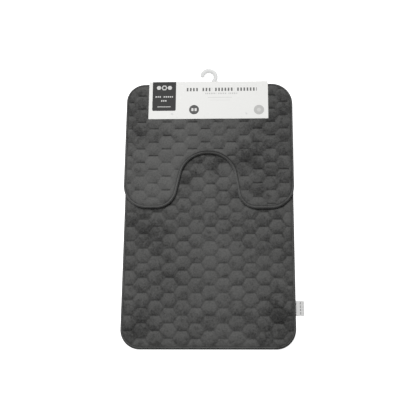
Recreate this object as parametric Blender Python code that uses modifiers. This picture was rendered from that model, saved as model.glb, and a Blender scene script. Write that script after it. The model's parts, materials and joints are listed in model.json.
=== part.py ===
"""Two-piece memory-foam bath mat set on its header card.

A bath mat lies flat with a contour pedestal mat on its upper half. A folded card with a
plastic hook grips the top edges of both. The pedestal mat is held under the card as a
narrow band, and the rest of it lifts as a flap along the card's lower edge.

Metres. +Z is up, +Y runs towards the card and the hook, +X is to the right. The origin is
the centre of the bath mat's underside.
"""
import math

import bmesh
import bpy
from mathutils import Vector

# Mats, seen from above
MAT_WIDTH = 0.500
MAT_LENGTH = 0.800
MAT_CORNER_RADIUS = 0.060
PEDESTAL_WIDTH = 0.504
PEDESTAL_LENGTH = 0.395
PEDESTAL_CORNER_RADIUS = 0.060
LEG_CORNER_RADIUS = 0.070
CUTOUT_DEPTH = 0.172
CUTOUT_TOP_WIDTH = 0.137
CUTOUT_MOUTH_WIDTH = 0.200
CUTOUT_TOP_RADIUS = 0.079
CUTOUT_LIP_RADIUS = 0.056

# Layers of one mat, from the floor up
BACKING_THICKNESS = 0.0022
FOAM_THICKNESS = 0.0110
COVER_THICKNESS = 0.0020
RIM_WIDTH = 0.008
RIM_TOP_ROUND = 0.0060
RIM_BOTTOM_ROUND = 0.0015
RIM_SEGMENTS = 3

# Topstitch thread, sunk in a groove just inside the rim
STITCH_INSET = 0.0090
STITCH_RADIUS = 0.0006

# Header card
CARD_WIDTH = 0.362
CARD_PANEL_LENGTH = 0.116
CARD_THICKNESS = 0.0005
CARD_CENTRE_X = -0.003
CARD_FLOOR_GAP = 0.0009
CARD_FOLD_RADIUS = 0.005
CARD_FOLD_STEPS = 6
SPINE_GAP = 0.0065

# Plastic hook: an arc on a stem, and a flange that stays inside the card
HOOK_RADIUS = 0.0210
HOOK_BAND_WIDTH = 0.0120
HOOK_THICKNESS = 0.0030
HOOK_ARC_CENTRE_X = -0.003
HOOK_ARC_HEIGHT = 0.0205
HOOK_TIP_ANGLE = math.radians(163.0)
HOOK_ROOT_ANGLE = math.radians(-40.0)
HOOK_ARC_STEPS = 16
HOOK_TIP_STEPS = 6
HOOK_EDGE_ROUND = 0.0007
HOOK_EDGE_ANGLE = math.radians(50.0)
HOOK_STEM_X = 0.0095
HOOK_STEM_WIDTH = 0.0085
HOOK_FLANGE_WIDTH = 0.026
HOOK_FLANGE_DEPTH = 0.0022
HOOK_FLANGE_HEIGHT = 0.0068
HOOK_FLANGE_SETBACK = 0.0014
HOOK_SHOULDER_GAP = 0.0012
SLOT_SIDE_PLAY = 0.0006
SLOT_TILT_PLAY = 0.0008

# Nylon tag pins through the card and both mats
PIN_SPACING = 0.224
PIN_ABOVE_CARD_EDGE = 0.016
PIN_SHAFT_RADIUS = 0.0006
PIN_HEAD_RADIUS = 0.0026
PIN_HEAD_THICKNESS = 0.0008
PIN_CROWN_SHARE = 0.7
PIN_RIM_SHARE = 0.4
PIN_BAR_LENGTH = 0.0100
PIN_BAR_WIDTH = 0.0014
PIN_BAR_THICKNESS = 0.0006

# Care label in the right-hand seam
LABEL_REACH = 0.0240
LABEL_WIDTH = 0.0426
LABEL_THICKNESS = 0.0005
LABEL_FROM_BOTTOM = 0.118
LABEL_HEIGHT = 0.0022

# Fits
GAP = 0.0003
HINGE_GAP = 0.0006
CUT_MARGIN = 0.004
ARC_STEP = math.radians(9.0)
ROD_SEGMENTS = 12
WELD_DISTANCE = 0.00001

# Worked out from the sizes above
MAT_THICKNESS = BACKING_THICKNESS + FOAM_THICKNESS + COVER_THICKNESS + 2.0 * GAP
PEDESTAL_BASE = MAT_THICKNESS + GAP
STACK_HEIGHT = PEDESTAL_BASE + MAT_THICKNESS
TOP_EDGE_Y = MAT_LENGTH / 2.0
CARD_EDGE_Y = TOP_EDGE_Y - CARD_PANEL_LENGTH
SPINE_Y = TOP_EDGE_Y + SPINE_GAP + CARD_THICKNESS / 2.0
CARD_BACK_Z = CARD_FLOOR_GAP + CARD_THICKNESS / 2.0
CARD_FRONT_Z = STACK_HEIGHT + GAP + CARD_THICKNESS / 2.0
CARD_MIDDLE_Z = (CARD_BACK_Z + CARD_FRONT_Z) / 2.0
HINGE_Y = CARD_EDGE_Y - HINGE_GAP
PIN_Y = CARD_EDGE_Y + PIN_ABOVE_CARD_EDGE
PIN_XS = (-PIN_SPACING / 2.0, PIN_SPACING / 2.0)

CHARCOAL = (0.085, 0.085, 0.083, 1.0)
FOAM_CREAM = (0.74, 0.69, 0.56, 1.0)
BACKING_GREY = (0.16, 0.16, 0.165, 1.0)
THREAD_GREY = (0.045, 0.045, 0.045, 1.0)
CARD_WHITE = (0.86, 0.86, 0.85, 1.0)
CLEAR_PLASTIC = (0.72, 0.76, 0.75, 1.0)
NYLON = (0.82, 0.83, 0.83, 1.0)
LABEL_WHITE = (0.70, 0.71, 0.72, 1.0)


def clear_scene():
    for obj in list(bpy.data.objects):
        bpy.data.objects.remove(obj, do_unlink=True)


def new_collection(name):
    collection = bpy.data.collections.new(name)
    bpy.context.scene.collection.children.link(collection)
    return collection


def link_mesh(name, mesh, collection):
    obj = bpy.data.objects.new(name, mesh)
    collection.objects.link(obj)
    return obj


def set_material(obj, colour, roughness):
    material = bpy.data.materials.new(obj.name)
    material.use_nodes = True
    shader = material.node_tree.nodes["Principled BSDF"]
    shader.inputs["Base Color"].default_value = colour
    shader.inputs["Roughness"].default_value = roughness
    shader.inputs["Metallic"].default_value = 0.0
    material.diffuse_color = colour
    obj.data.materials.clear()
    obj.data.materials.append(material)


def rounded_outline(corners, inset=0.0):
    """Points of a counter-clockwise polygon, moved inwards by inset, with round corners.

    Each corner is x, y and radius. A radius shrinks by the inset at an outward corner and
    grows by it at an inward one, so an inset outline keeps an even distance.
    """
    points = []
    count = len(corners)
    for index, (x, y, radius) in enumerate(corners):
        corner = Vector((x, y))
        arriving = (corner - Vector(corners[index - 1][:2])).normalized()
        leaving = (Vector(corners[(index + 1) % count][:2]) - corner).normalized()
        turn = math.atan2(arriving.cross(leaving), arriving.dot(leaving))
        inward = (Vector((-arriving.y, arriving.x)) + Vector((-leaving.y, leaving.x))).normalized()
        corner = corner + inward * inset / math.cos(turn / 2.0)
        radius = radius - math.copysign(inset, turn)
        start = corner - arriving * radius * math.tan(abs(turn) / 2.0)
        side = math.copysign(1.0, turn)
        centre = start + Vector((-arriving.y, arriving.x)) * side * radius
        steps = max(2, round(abs(turn) / ARC_STEP))
        for step in range(steps + 1):
            angle = turn * step / steps
            spoke = start - centre
            points.append((
                centre.x + spoke.x * math.cos(angle) - spoke.y * math.sin(angle),
                centre.y + spoke.x * math.sin(angle) + spoke.y * math.cos(angle),
            ))
    return points


def curve_to_mesh(curve_obj, collection):
    """Turns a curve object into a mesh object of the same name with its caps welded on."""
    depsgraph = bpy.context.evaluated_depsgraph_get()
    mesh = bpy.data.meshes.new_from_object(curve_obj.evaluated_get(depsgraph))
    name = curve_obj.name
    matrix = curve_obj.matrix_world.copy()
    bpy.data.objects.remove(curve_obj, do_unlink=True)
    bm = bmesh.new()
    bm.from_mesh(mesh)
    bmesh.ops.remove_doubles(bm, verts=bm.verts, dist=WELD_DISTANCE)
    bmesh.ops.dissolve_limit(
        bm, angle_limit=math.radians(0.5), use_dissolve_boundaries=False,
        verts=bm.verts, edges=bm.edges,
    )
    bm.to_mesh(mesh)
    bm.free()
    mesh.name = name
    obj = link_mesh(name, mesh, collection)
    obj.matrix_world = matrix
    return obj


def poly_curve(name, points, closed, collection):
    curve = bpy.data.curves.new(name, "CURVE")
    spline = curve.splines.new("POLY")
    spline.points.add(len(points) - 1)
    for spline_point, point in zip(spline.points, points):
        spline_point.co = (point[0], point[1], 0.0, 1.0)
    spline.use_cyclic_u = closed
    curve_obj = bpy.data.objects.new(name, curve)
    collection.objects.link(curve_obj)
    return curve_obj


def make_slab(name, points, bottom, top, collection):
    """A flat solid of the outline between two heights."""
    curve_obj = poly_curve(name, points, True, collection)
    curve_obj.data.dimensions = "2D"
    curve_obj.data.fill_mode = "BOTH"
    curve_obj.data.extrude = (top - bottom) / 2.0
    curve_obj.location.z = (top + bottom) / 2.0
    bpy.context.view_layer.update()
    return curve_to_mesh(curve_obj, collection)


def make_cord_ring(name, points, height, radius, collection):
    """A round cord that follows the closed outline at one height."""
    curve_obj = poly_curve(name, points, True, collection)
    curve_obj.data.dimensions = "3D"
    curve_obj.data.bevel_depth = radius
    curve_obj.data.bevel_resolution = 1
    curve_obj.location.z = height
    bpy.context.view_layer.update()
    return curve_to_mesh(curve_obj, collection)


def make_box(name, low, high, collection):
    bm = bmesh.new()
    bmesh.ops.create_cube(bm, size=1.0)
    size = Vector(high) - Vector(low)
    bmesh.ops.scale(bm, vec=size, verts=bm.verts)
    mesh = bpy.data.meshes.new(name)
    bm.to_mesh(mesh)
    bm.free()
    obj = link_mesh(name, mesh, collection)
    obj.location = (Vector(low) + Vector(high)) / 2.0
    return obj


def make_rod(name, centre, radius, bottom, top, collection):
    bm = bmesh.new()
    bmesh.ops.create_cone(
        bm, cap_ends=True, segments=ROD_SEGMENTS, radius1=radius, radius2=radius,
        depth=top - bottom,
    )
    mesh = bpy.data.meshes.new(name)
    bm.to_mesh(mesh)
    bm.free()
    obj = link_mesh(name, mesh, collection)
    obj.location = (centre[0], centre[1], (top + bottom) / 2.0)
    return obj


def hide_cutter(obj):
    obj.hide_render = True
    obj.display_type = "WIRE"
    return obj


def add_boolean(obj, tool, operation):
    modifier = obj.modifiers.new(tool.name, "BOOLEAN")
    modifier.operation = operation
    modifier.object = tool
    modifier.solver = "EXACT"


def round_rim(obj, top):
    """Rounds the outline's edges, wide at the top and tight at the bottom."""
    mesh = obj.data
    weights = mesh.attributes.new("bevel_weight_edge", "FLOAT", "EDGE")
    top_height = max(vertex.co.z for vertex in mesh.vertices)
    bottom_height = min(vertex.co.z for vertex in mesh.vertices)
    for edge in mesh.edges:
        heights = [mesh.vertices[index].co.z for index in edge.vertices]
        if min(heights) > top_height - GAP:
            weights.data[edge.index].value = 1.0
        elif max(heights) < bottom_height + GAP:
            weights.data[edge.index].value = RIM_BOTTOM_ROUND / top
    bevel = obj.modifiers.new("rim_round", "BEVEL")
    bevel.limit_method = "WEIGHT"
    bevel.width = top
    bevel.segments = RIM_SEGMENTS


def bath_mat_corners():
    half_width = MAT_WIDTH / 2.0
    return [
        (-half_width, -TOP_EDGE_Y, MAT_CORNER_RADIUS),
        (half_width, -TOP_EDGE_Y, MAT_CORNER_RADIUS),
        (half_width, TOP_EDGE_Y, MAT_CORNER_RADIUS),
        (-half_width, TOP_EDGE_Y, MAT_CORNER_RADIUS),
    ]


def pedestal_corners():
    half_width = PEDESTAL_WIDTH / 2.0
    half_mouth = CUTOUT_MOUTH_WIDTH / 2.0
    half_top = CUTOUT_TOP_WIDTH / 2.0
    foot_y = TOP_EDGE_Y - PEDESTAL_LENGTH
    cutout_y = foot_y + CUTOUT_DEPTH
    return [
        (-half_width, foot_y, LEG_CORNER_RADIUS),
        (-half_mouth, foot_y, CUTOUT_LIP_RADIUS),
        (-half_top, cutout_y, CUTOUT_TOP_RADIUS),
        (half_top, cutout_y, CUTOUT_TOP_RADIUS),
        (half_mouth, foot_y, CUTOUT_LIP_RADIUS),
        (half_width, foot_y, LEG_CORNER_RADIUS),
        (half_width, TOP_EDGE_Y, PEDESTAL_CORNER_RADIUS),
        (-half_width, TOP_EDGE_Y, PEDESTAL_CORNER_RADIUS),
    ]


def make_mat(name, corners, base, tools, parts, cutters):
    """One mat, or the part of one that its tools leave: cover, foam, backing and topstitch.

    Each tool is an object and the Boolean operation that it does on every layer.
    """
    top = base + MAT_THICKNESS
    inner = rounded_outline(corners, RIM_WIDTH)
    core = rounded_outline(corners, RIM_WIDTH + GAP)
    stitch_line = rounded_outline(corners, STITCH_INSET)
    stitch_z = top - STITCH_RADIUS

    cover = make_slab(name + "_cover", rounded_outline(corners), base, top, parts)
    round_rim(cover, RIM_TOP_ROUND)
    cavity_bottom = base - CUT_MARGIN
    cavity_top = top - COVER_THICKNESS
    cavity = make_slab(name + "_cavity", inner, cavity_bottom, cavity_top, cutters)
    groove = make_cord_ring(
        name + "_stitch_groove", stitch_line, stitch_z, STITCH_RADIUS + GAP, cutters,
    )
    add_boolean(cover, hide_cutter(cavity), "DIFFERENCE")
    add_boolean(cover, hide_cutter(groove), "DIFFERENCE")

    backing_top = base + BACKING_THICKNESS
    backing = make_slab(name + "_backing", core, base, backing_top, parts)
    foam_bottom = backing_top + GAP
    foam = make_slab(name + "_foam", core, foam_bottom, foam_bottom + FOAM_THICKNESS, parts)
    stitch = make_cord_ring(name + "_topstitch", stitch_line, stitch_z, STITCH_RADIUS, parts)

    for tool, operation in tools:
        for layer in (cover, foam, backing):
            add_boolean(layer, tool, operation)
        if operation == "INTERSECT":
            add_boolean(stitch, tool, operation)
    set_material(cover, CHARCOAL, 0.95)
    set_material(foam, FOAM_CREAM, 0.90)
    set_material(backing, BACKING_GREY, 0.75)
    set_material(stitch, THREAD_GREY, 0.70)


def make_card_recess(cutters):
    """The shallow space under the bath mat's top edge that the card's back panel presses in."""
    half_width = CARD_WIDTH / 2.0 + GAP
    low = (CARD_CENTRE_X - half_width, CARD_EDGE_Y - GAP, -CUT_MARGIN)
    high = (
        CARD_CENTRE_X + half_width,
        TOP_EDGE_Y + CUT_MARGIN,
        CARD_BACK_Z + CARD_THICKNESS / 2.0 + GAP,
    )
    return hide_cutter(make_box("card_recess", low, high, cutters))


def make_pin_holes(cutters):
    holes = []
    for side, x in zip(("left", "right"), PIN_XS):
        rod = make_rod(
            "pin_hole_" + side, (x, PIN_Y), PIN_SHAFT_RADIUS + GAP,
            -CUT_MARGIN, STACK_HEIGHT + CUT_MARGIN, cutters,
        )
        holes.append(hide_cutter(rod))
    return holes


def make_pedestal_halves(cutters):
    """The two boxes that part the pedestal mat into its held band and its free flap."""
    reach = PEDESTAL_WIDTH
    bottom = PEDESTAL_BASE - CUT_MARGIN
    top = STACK_HEIGHT + CUT_MARGIN
    band = make_box(
        "band_space", (-reach, HINGE_Y, bottom), (reach, TOP_EDGE_Y + reach, top), cutters,
    )
    flap = make_box(
        "flap_space",
        (-reach, TOP_EDGE_Y - PEDESTAL_LENGTH - reach, bottom),
        (reach, HINGE_Y - GAP, top),
        cutters,
    )
    return hide_cutter(band), hide_cutter(flap)


def make_header_card(pin_holes, parts, cutters):
    """One strip of card, folded twice round the mats' top edges."""
    path = [(CARD_EDGE_Y, CARD_FRONT_Z)]
    for centre_z, start in (
        (CARD_FRONT_Z - CARD_FOLD_RADIUS, math.pi / 2.0),
        (CARD_BACK_Z + CARD_FOLD_RADIUS, 0.0),
    ):
        for step in range(CARD_FOLD_STEPS + 1):
            angle = start - math.pi / 2.0 * step / CARD_FOLD_STEPS
            path.append((
                SPINE_Y - CARD_FOLD_RADIUS + CARD_FOLD_RADIUS * math.cos(angle),
                centre_z + CARD_FOLD_RADIUS * math.sin(angle),
            ))
    path.append((CARD_EDGE_Y, CARD_BACK_Z))

    bm = bmesh.new()
    left_x = CARD_CENTRE_X - CARD_WIDTH / 2.0
    row = [bm.verts.new((left_x, y, z)) for y, z in path]
    edges = [bm.edges.new(pair) for pair in zip(row, row[1:])]
    extruded = bmesh.ops.extrude_edge_only(bm, edges=edges)["geom"]
    moved = [item for item in extruded if isinstance(item, bmesh.types.BMVert)]
    bmesh.ops.translate(bm, vec=(CARD_WIDTH, 0.0, 0.0), verts=moved)
    bmesh.ops.recalc_face_normals(bm, faces=bm.faces)
    mesh = bpy.data.meshes.new("header_card")
    bm.to_mesh(mesh)
    bm.free()
    card = link_mesh("header_card", mesh, parts)
    solidify = card.modifiers.new("card_thickness", "SOLIDIFY")
    solidify.thickness = CARD_THICKNESS
    solidify.offset = 0.0

    half_slot_width = HOOK_STEM_WIDTH / 2.0 + SLOT_SIDE_PLAY
    half_slot_height = HOOK_THICKNESS / 2.0 + SLOT_TILT_PLAY
    slot = make_box(
        "hook_slot",
        (HOOK_STEM_X - half_slot_width, SPINE_Y - CUT_MARGIN / 2.0, CARD_MIDDLE_Z - half_slot_height),
        (HOOK_STEM_X + half_slot_width, SPINE_Y + CUT_MARGIN / 2.0, CARD_MIDDLE_Z + half_slot_height),
        cutters,
    )
    add_boolean(card, hide_cutter(slot), "DIFFERENCE")
    for hole in pin_holes:
        add_boolean(card, hole, "DIFFERENCE")
    set_material(card, CARD_WHITE, 0.55)


def hook_outline():
    """The hook seen from above, about its pivot in the card's slot, counter-clockwise."""
    centre = Vector((HOOK_ARC_CENTRE_X - HOOK_STEM_X, HOOK_ARC_HEIGHT))
    half_band = HOOK_BAND_WIDTH / 2.0
    half_stem = HOOK_STEM_WIDTH / 2.0
    angles = [
        HOOK_ROOT_ANGLE + (HOOK_TIP_ANGLE - HOOK_ROOT_ANGLE) * step / HOOK_ARC_STEPS
        for step in range(HOOK_ARC_STEPS + 1)
    ]
    outer = HOOK_RADIUS + half_band
    inner = HOOK_RADIUS - half_band
    flange_y = -(CARD_THICKNESS / 2.0 + HOOK_FLANGE_SETBACK + HOOK_FLANGE_DEPTH / 2.0)
    shoulder_y = CARD_THICKNESS / 2.0 + HOOK_SHOULDER_GAP
    points = [(half_stem, flange_y), (half_stem, shoulder_y)]
    points += [(centre.x + outer * math.cos(a), centre.y + outer * math.sin(a)) for a in angles]
    tip = centre + Vector((math.cos(HOOK_TIP_ANGLE), math.sin(HOOK_TIP_ANGLE))) * HOOK_RADIUS
    for step in range(1, HOOK_TIP_STEPS):
        angle = HOOK_TIP_ANGLE + math.pi * step / HOOK_TIP_STEPS
        points.append((tip.x + half_band * math.cos(angle), tip.y + half_band * math.sin(angle)))
    points += [
        (centre.x + inner * math.cos(a), centre.y + inner * math.sin(a)) for a in reversed(angles)
    ]
    points += [(-half_stem, shoulder_y), (-half_stem, flange_y)]
    return points


def make_hanger_hook(parts, cutters):
    """The hook, with its origin on the axis it tilts about."""
    hook = make_slab(
        "hanger_hook", hook_outline(), -HOOK_THICKNESS / 2.0, HOOK_THICKNESS / 2.0, parts,
    )
    pivot = Vector((HOOK_STEM_X, SPINE_Y, CARD_MIDDLE_Z))
    hook.location = pivot
    flange_front = -(CARD_THICKNESS / 2.0 + HOOK_FLANGE_SETBACK)
    half_width = HOOK_FLANGE_WIDTH / 2.0
    half_height = HOOK_FLANGE_HEIGHT / 2.0
    low = pivot + Vector((-half_width, flange_front - HOOK_FLANGE_DEPTH, -half_height))
    high = pivot + Vector((half_width, flange_front, half_height))
    flange = make_box("hook_flange", low, high, cutters)
    bevel = hook.modifiers.new("edge_round", "BEVEL")
    bevel.width = HOOK_EDGE_ROUND
    bevel.segments = 2
    bevel.limit_method = "ANGLE"
    bevel.angle_limit = HOOK_EDGE_ANGLE
    add_boolean(hook, hide_cutter(flange), "UNION")
    set_material(hook, CLEAR_PLASTIC, 0.25)


def make_tag_pin(side, x, parts, cutters):
    """A nylon pin: a round head on the card, a thin shaft, and a crossbar at the back."""
    bar_top = CARD_FLOOR_GAP - GAP / 2.0
    bar_bottom = bar_top - PIN_BAR_THICKNESS
    head_bottom = CARD_FRONT_Z + CARD_THICKNESS / 2.0 + GAP / 2.0
    head_top = head_bottom + PIN_HEAD_THICKNESS
    profile = [
        (0.0, head_top),
        (PIN_HEAD_RADIUS * PIN_CROWN_SHARE, head_top),
        (PIN_HEAD_RADIUS, head_bottom + PIN_HEAD_THICKNESS * PIN_RIM_SHARE),
        (PIN_HEAD_RADIUS, head_bottom),
        (PIN_SHAFT_RADIUS, head_bottom),
        (PIN_SHAFT_RADIUS, bar_bottom + PIN_BAR_THICKNESS / 2.0),
        (0.0, bar_bottom + PIN_BAR_THICKNESS / 2.0),
    ]
    mesh = bpy.data.meshes.new("tag_pin_" + side)
    edges = [(index, index + 1) for index in range(len(profile) - 1)]
    mesh.from_pydata([(radius, 0.0, z) for radius, z in profile], edges, [])
    pin = link_mesh("tag_pin_" + side, mesh, parts)
    pin.location = (x, PIN_Y, 0.0)
    screw = pin.modifiers.new("turned", "SCREW")
    screw.steps = ROD_SEGMENTS
    screw.render_steps = ROD_SEGMENTS
    screw.use_merge_vertices = True
    screw.merge_threshold = WELD_DISTANCE
    half_length = PIN_BAR_LENGTH / 2.0
    half_width = PIN_BAR_WIDTH / 2.0
    bar = make_box(
        "tag_pin_bar_" + side,
        (x - half_length, PIN_Y - half_width, bar_bottom),
        (x + half_length, PIN_Y + half_width, bar_top),
        cutters,
    )
    add_boolean(pin, hide_cutter(bar), "UNION")
    set_material(pin, NYLON, 0.35)


def make_care_label(parts):
    """The folded woven label, hinged where it leaves the seam."""
    hinge_x = MAT_WIDTH / 2.0 + GAP
    middle_y = -TOP_EDGE_Y + LABEL_FROM_BOTTOM
    label = make_box(
        "care_label",
        (0.0, -LABEL_WIDTH / 2.0, -LABEL_THICKNESS),
        (LABEL_REACH, LABEL_WIDTH / 2.0, 0.0),
        parts,
    )
    offset = label.location.copy()
    for vertex in label.data.vertices:
        vertex.co += offset
    label.location = (hinge_x, middle_y, LABEL_HEIGHT + LABEL_THICKNESS)
    set_material(label, LABEL_WHITE, 0.85)


clear_scene()
parts = new_collection("bath_mat_set")
cutters = new_collection("cutters")

pin_holes = make_pin_holes(cutters)
card_recess = make_card_recess(cutters)
band_space, flap_space = make_pedestal_halves(cutters)
held_tools = [(hole, "DIFFERENCE") for hole in pin_holes]

bath_tools = held_tools + [(card_recess, "DIFFERENCE")]
make_mat("bath_mat", bath_mat_corners(), 0.0, bath_tools, parts, cutters)
band_tools = [(band_space, "INTERSECT")] + held_tools
make_mat("pedestal_band", pedestal_corners(), PEDESTAL_BASE, band_tools, parts, cutters)
flap_tools = [(flap_space, "INTERSECT")]
make_mat("pedestal_flap", pedestal_corners(), PEDESTAL_BASE, flap_tools, parts, cutters)

make_header_card(pin_holes, parts, cutters)
make_hanger_hook(parts, cutters)
for pin_side, pin_x in zip(("left", "right"), PIN_XS):
    make_tag_pin(pin_side, pin_x, parts, cutters)
make_care_label(parts)
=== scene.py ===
"""Looks for a two-piece bath mat set on its header card.

A memory-foam bath mat lies flat with a contour pedestal mat on its upper half. A folded card
with a plastic hook grips the top edges of both. Metres, +Z up, +Y towards the hook.
"""
import json
import math
from collections import namedtuple

import bmesh
import bpy
import numpy as np
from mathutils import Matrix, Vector, noise
from mathutils.geometry import delaunay_2d_cdt


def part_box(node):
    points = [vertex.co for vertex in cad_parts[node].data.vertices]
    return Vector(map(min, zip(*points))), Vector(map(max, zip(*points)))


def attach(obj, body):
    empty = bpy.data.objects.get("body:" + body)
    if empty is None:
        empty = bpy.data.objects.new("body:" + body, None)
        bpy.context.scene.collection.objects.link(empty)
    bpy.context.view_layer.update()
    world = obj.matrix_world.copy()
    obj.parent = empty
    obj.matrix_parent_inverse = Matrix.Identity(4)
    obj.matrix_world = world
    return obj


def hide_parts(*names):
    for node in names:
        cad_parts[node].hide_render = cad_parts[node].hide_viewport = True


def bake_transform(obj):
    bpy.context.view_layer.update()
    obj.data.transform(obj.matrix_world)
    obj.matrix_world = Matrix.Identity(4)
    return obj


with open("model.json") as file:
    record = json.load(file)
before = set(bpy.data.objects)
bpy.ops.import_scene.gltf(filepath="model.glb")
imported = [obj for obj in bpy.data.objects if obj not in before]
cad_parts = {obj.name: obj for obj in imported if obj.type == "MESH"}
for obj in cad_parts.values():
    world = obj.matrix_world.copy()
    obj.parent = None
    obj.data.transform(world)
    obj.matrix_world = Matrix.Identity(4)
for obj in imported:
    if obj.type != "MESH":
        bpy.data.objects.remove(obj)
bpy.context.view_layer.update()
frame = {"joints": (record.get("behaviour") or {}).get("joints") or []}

scene = bpy.context.scene


# ---------------------------------------------------------------- Camera
# A catalogue view from above: the camera hangs over the lower half of the mats and looks
# down and a little towards the hook, far enough off for the sides to stay nearly parallel.

CAMERA_LENS = 63.74
CAMERA_PLACE = (0.0904, -0.5275, 2.1156)
CAMERA_TILT = 14.37
CAMERA_PAN = 2.44
CAMERA_ROLL = -0.15

camera_data = bpy.data.cameras.new("catalogue_camera")
camera_data.lens = CAMERA_LENS
camera_data.sensor_width = 36.0
camera = bpy.data.objects.new("catalogue_camera", camera_data)
scene.collection.objects.link(camera)
camera.location = CAMERA_PLACE
camera.rotation_mode = "ZYX"
camera.rotation_euler = [math.radians(angle) for angle in (CAMERA_TILT, CAMERA_PAN, CAMERA_ROLL)]
scene.camera = camera


# ---------------------------------------------------------------- Studio
# A backlit white table under the set. A large soft box hangs high over the hook end and
# lights the quilting from that side, and the white ceiling fills the shadows.

TABLE_SIZE = 30.0
TABLE_GLOW = 0.80
CEILING_LIGHT = 0.24
SOFT_BOX_POWER = 101.0
SOFT_BOX_SIZE = (2.4, 1.2)
SOFT_BOX_PLACE = Vector((-0.60, 0.85, 3.25))
SOFT_BOX_AIM = Vector((0.0, 0.05, 0.0))

scene.view_settings.view_transform = "Standard"
room = bpy.data.worlds.new("white_room")
room.use_nodes = True
ceiling = room.node_tree.nodes["Background"]
ceiling.inputs["Color"].default_value = (1.0, 1.0, 1.0, 1.0)
ceiling.inputs["Strength"].default_value = CEILING_LIGHT
scene.world = room

table_top = bpy.data.materials.new("backlit_table")
table_top.use_nodes = True
table_shader = table_top.node_tree.nodes["Principled BSDF"]
table_shader.inputs["Base Color"].default_value = (0.90, 0.90, 0.90, 1.0)
table_shader.inputs["Roughness"].default_value = 0.9
table_shader.inputs["Specular IOR Level"].default_value = 0.1
table_shader.inputs["Emission Color"].default_value = (1.0, 1.0, 1.0, 1.0)
table_shader.inputs["Emission Strength"].default_value = TABLE_GLOW
bpy.ops.mesh.primitive_plane_add(size=TABLE_SIZE)
floor = bpy.context.object
floor.name = "studio_floor"
floor.data.materials.append(table_top)
floor.visible_diffuse = False

soft_box_data = bpy.data.lights.new("soft_box", "AREA")
soft_box_data.shape = "RECTANGLE"
soft_box_data.size, soft_box_data.size_y = SOFT_BOX_SIZE
soft_box_data.energy = SOFT_BOX_POWER
soft_box = bpy.data.objects.new("soft_box", soft_box_data)
scene.collection.objects.link(soft_box)
soft_box.location = SOFT_BOX_PLACE
soft_box.rotation_euler = (SOFT_BOX_AIM - SOFT_BOX_PLACE).to_track_quat("-Z", "Y").to_euler()


# ---------------------------------------------------------------- Bath mat pad
# Memory foam wrapped in short charcoal velour. The velour is pressed into the foam along
# hexagon channels, and its edge is rolled over the rim and held by a topstitched groove.

MM = 0.001
OUTLINE_STEP = 3.4 * MM
ARC_STEP = math.radians(3.2)
GROOVE_INSET = 6.9 * MM
GROOVE_BOTTOM = 11.9 * MM
HEM_INSET = 2.9 * MM
TUCK_LIFT = 1.0 * MM
CROWN_TOP = 15.7 * MM
CHANNEL_TOP = 11.8 * MM
PILLOW_POWER = 2.5
DARKEST_MARK = 1.65
MOST_SWELL = 1.6 * MM
SWELL_FRAMES = 16
CHANNEL_RINGS = (1.5 * MM, 4.0 * MM, 8.0 * MM, 13.0 * MM)
CHANNEL_STEPS = 8
SHARED_WITHIN = 0.2 * MM
OFF_HALVES = 0.137

# The cross-section of one mat's edge, as inset from the outline and height above its base.
EDGE_SECTION = [
    (3.0 * MM, 1.40 * MM), (2.6 * MM, 1.05 * MM), (2.0 * MM, 0.85 * MM), (1.1 * MM, 1.3 * MM),
    (0.35 * MM, 3.0 * MM), (0.0, 5.2 * MM), (0.15 * MM, 7.6 * MM), (0.75 * MM, 9.8 * MM),
    (1.7 * MM, 11.7 * MM), (2.9 * MM, 13.1 * MM), (4.1 * MM, 13.75 * MM), (5.2 * MM, 13.6 * MM),
    (5.9 * MM, 13.1 * MM), (6.35 * MM, 12.5 * MM), (6.6 * MM, 12.1 * MM), (GROOVE_INSET, GROOVE_BOTTOM),
    (7.3 * MM, 12.1 * MM), (8.3 * MM, 12.8 * MM),
]


class Shade:
    """A shader socket. Arithmetic on it adds Math nodes to its material."""

    def __init__(self, tree, socket=None):
        self.tree = tree
        self.socket = socket

    def node(self, kind, settings=None, inputs=None, output=0):
        """Adds a node: its settings first, then its sockets' values or links."""
        made = self.tree.nodes.new("ShaderNode" + kind)
        for name, value in (settings or {}).items():
            setattr(made, name, value)
        for name, value in (inputs or {}).items():
            if isinstance(value, Shade):
                self.tree.links.new(value.socket, made.inputs[name])
            else:
                made.inputs[name].default_value = value
        return Shade(self.tree, made.outputs[output])

    def math(self, operation, *values):
        return self.node("Math", {"operation": operation}, dict(enumerate(values)))

    def __add__(self, other):
        return self.math("ADD", self, other)

    def __radd__(self, other):
        return self.math("ADD", other, self)

    def __sub__(self, other):
        return self.math("SUBTRACT", self, other)

    def __rsub__(self, other):
        return self.math("SUBTRACT", other, self)

    def __mul__(self, other):
        return self.math("MULTIPLY", self, other)

    def __rmul__(self, other):
        return self.math("MULTIPLY", other, self)

    def __truediv__(self, other):
        return self.math("DIVIDE", self, other)

    def clamp(self):
        return self.node("Clamp", None, {"Value": self})

    def noise(self, scale, detail=2.0, where=None):
        """Even noise from 0 to 1, with scale in waves a metre."""
        inputs = {"Scale": scale, "Detail": detail}
        if where:
            inputs["Vector"] = where
        return self.node("TexNoise", None, inputs)

    def axes(self):
        """The object's own coordinates, whole and as x, y and z."""
        where = self.node("TexCoord", output=3)
        parts = [self.node("SeparateXYZ", None, {"Vector": where}, output=axis) for axis in range(3)]
        return [where] + parts

    def mix(self, amount, first, second):
        """A colour between two, by an amount from 0 to 1."""
        return self.node(
            "Mix", {"data_type": "RGBA"}, {0: amount, 6: first, 7: second}, output=2,
        )

    def scaled(self, colour, amount):
        """A colour made lighter or darker by a factor."""
        return self.node(
            "VectorMath", {"operation": "SCALE"}, {"Vector": colour, "Scale": amount},
        )

    def feed(self, shader, name):
        self.tree.links.new(self.socket, shader.inputs[name])

    def emboss(self, shader, strength, distance):
        """Feeds the shader's normal with fine relief of this height."""
        relief = self.node("Bump", None, {"Strength": strength, "Distance": distance, "Height": self})
        relief.feed(shader, "Normal")


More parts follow.
